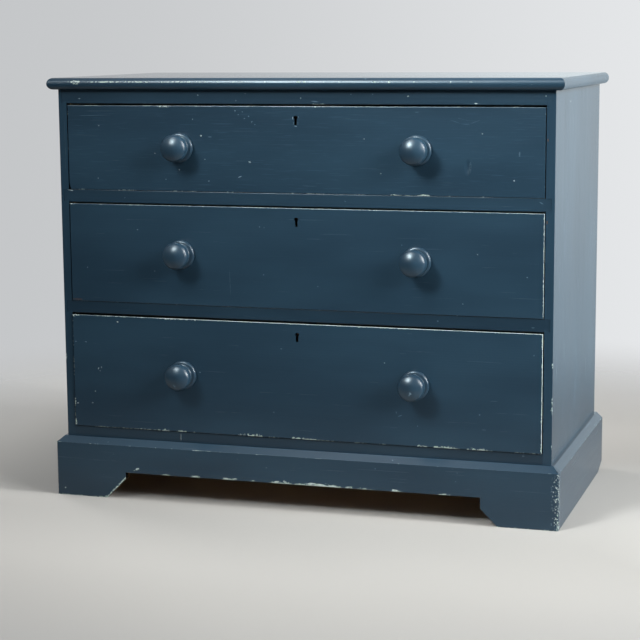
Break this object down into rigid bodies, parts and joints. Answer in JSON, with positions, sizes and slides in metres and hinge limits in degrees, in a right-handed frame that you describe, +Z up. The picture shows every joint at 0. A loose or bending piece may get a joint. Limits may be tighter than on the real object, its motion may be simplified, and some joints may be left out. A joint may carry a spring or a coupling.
{
  "type": "chest of drawers",
  "caption": "Low painted pine chest with full-width graduated drawers, turned knobs, a nosed top and a plinth with bracket feet.",
  "frame": {"origin": "on the floor under the middle of the chest's box, knobs and top overhang included", "axes": "+X to the right as seen from the front, +Y to the back, +Z up"},
  "size_m": [0.974, 0.54, 0.7975],
  "materials": {
    "blue_paint": "brushed satin oil paint, dark blue, chipped to pale ground on the edges",
    "bare_pine": "bare planed pine, darkened with age",
    "lock_iron": "dull dark iron with light rust",
    "bolt_steel": "worn bright steel"
  },
  "bodies": {
    "carcass": {"top_board": "blue_paint", "left_case_side": "blue_paint", "right_case_side": "blue_paint", "top_rail": "blue_paint", "upper_drawer_rail": "blue_paint", "lower_drawer_rail": "blue_paint", "bottom_board": "bare_pine", "rear_top_rail": "bare_pine", "rear_base_rail": "bare_pine", "left_upper_runner": "bare_pine", "right_upper_runner": "bare_pine", "left_lower_runner": "bare_pine", "right_lower_runner": "bare_pine", "left_kicker": "bare_pine", "right_kicker": "bare_pine", "top_drawer_stops": "bare_pine", "middle_drawer_stops": "bare_pine", "bottom_drawer_stops": "bare_pine", "back_board_1": "bare_pine", "back_board_2": "bare_pine", "back_board_3": "bare_pine", "back_board_4": "bare_pine", "plinth_front": "blue_paint", "left_plinth_side": "blue_paint", "right_plinth_side": "blue_paint", "plinth_corner_blocks": "bare_pine", "plinth_glue_blocks": "bare_pine", "back_nails": "lock_iron", "top_screws": "lock_iron"},
    "top_drawer": {"top_drawer_front": "blue_paint", "top_drawer_left_side": "bare_pine", "top_drawer_right_side": "bare_pine", "top_drawer_back": "bare_pine", "top_drawer_bottom": "bare_pine", "top_drawer_left_knob": "blue_paint", "top_drawer_right_knob": "blue_paint", "top_lock_case": "lock_iron", "top_lock_screws": "lock_iron"},
    "top_bolt": {"top_lock_bolt": "bolt_steel"},
    "middle_drawer": {"middle_drawer_front": "blue_paint", "middle_drawer_left_side": "bare_pine", "middle_drawer_right_side": "bare_pine", "middle_drawer_back": "bare_pine", "middle_drawer_bottom": "bare_pine", "middle_drawer_left_knob": "blue_paint", "middle_drawer_right_knob": "blue_paint", "middle_lock_case": "lock_iron", "middle_lock_screws": "lock_iron"},
    "middle_bolt": {"middle_lock_bolt": "bolt_steel"},
    "bottom_drawer": {"bottom_drawer_front": "blue_paint", "bottom_drawer_left_side": "bare_pine", "bottom_drawer_right_side": "bare_pine", "bottom_drawer_back": "bare_pine", "bottom_drawer_bottom": "bare_pine", "bottom_drawer_left_knob": "blue_paint", "bottom_drawer_right_knob": "blue_paint", "bottom_lock_case": "lock_iron", "bottom_lock_screws": "lock_iron"},
    "bottom_bolt": {"bottom_lock_bolt": "bolt_steel"}
  },
  "joints": [
    {"name": "top_drawer_slide", "type": "slide", "parent": "carcass", "child": "top_drawer", "axis": [0, -1, 0], "range_m": [0, 0.34]},
    {"name": "top_bolt_slide", "type": "slide", "parent": "top_drawer", "child": "top_bolt", "axis": [0, 0, 1], "range_m": [0, 0.008]},
    {"name": "middle_drawer_slide", "type": "slide", "parent": "carcass", "child": "middle_drawer", "axis": [0, -1, 0], "range_m": [0, 0.34]},
    {"name": "middle_bolt_slide", "type": "slide", "parent": "middle_drawer", "child": "middle_bolt", "axis": [0, 0, 1], "range_m": [0, 0.008]},
    {"name": "bottom_drawer_slide", "type": "slide", "parent": "carcass", "child": "bottom_drawer", "axis": [0, -1, 0], "range_m": [0, 0.34]},
    {"name": "bottom_bolt_slide", "type": "slide", "parent": "bottom_drawer", "child": "bottom_bolt", "axis": [0, 0, 1], "range_m": [0, 0.008]}
  ]
}
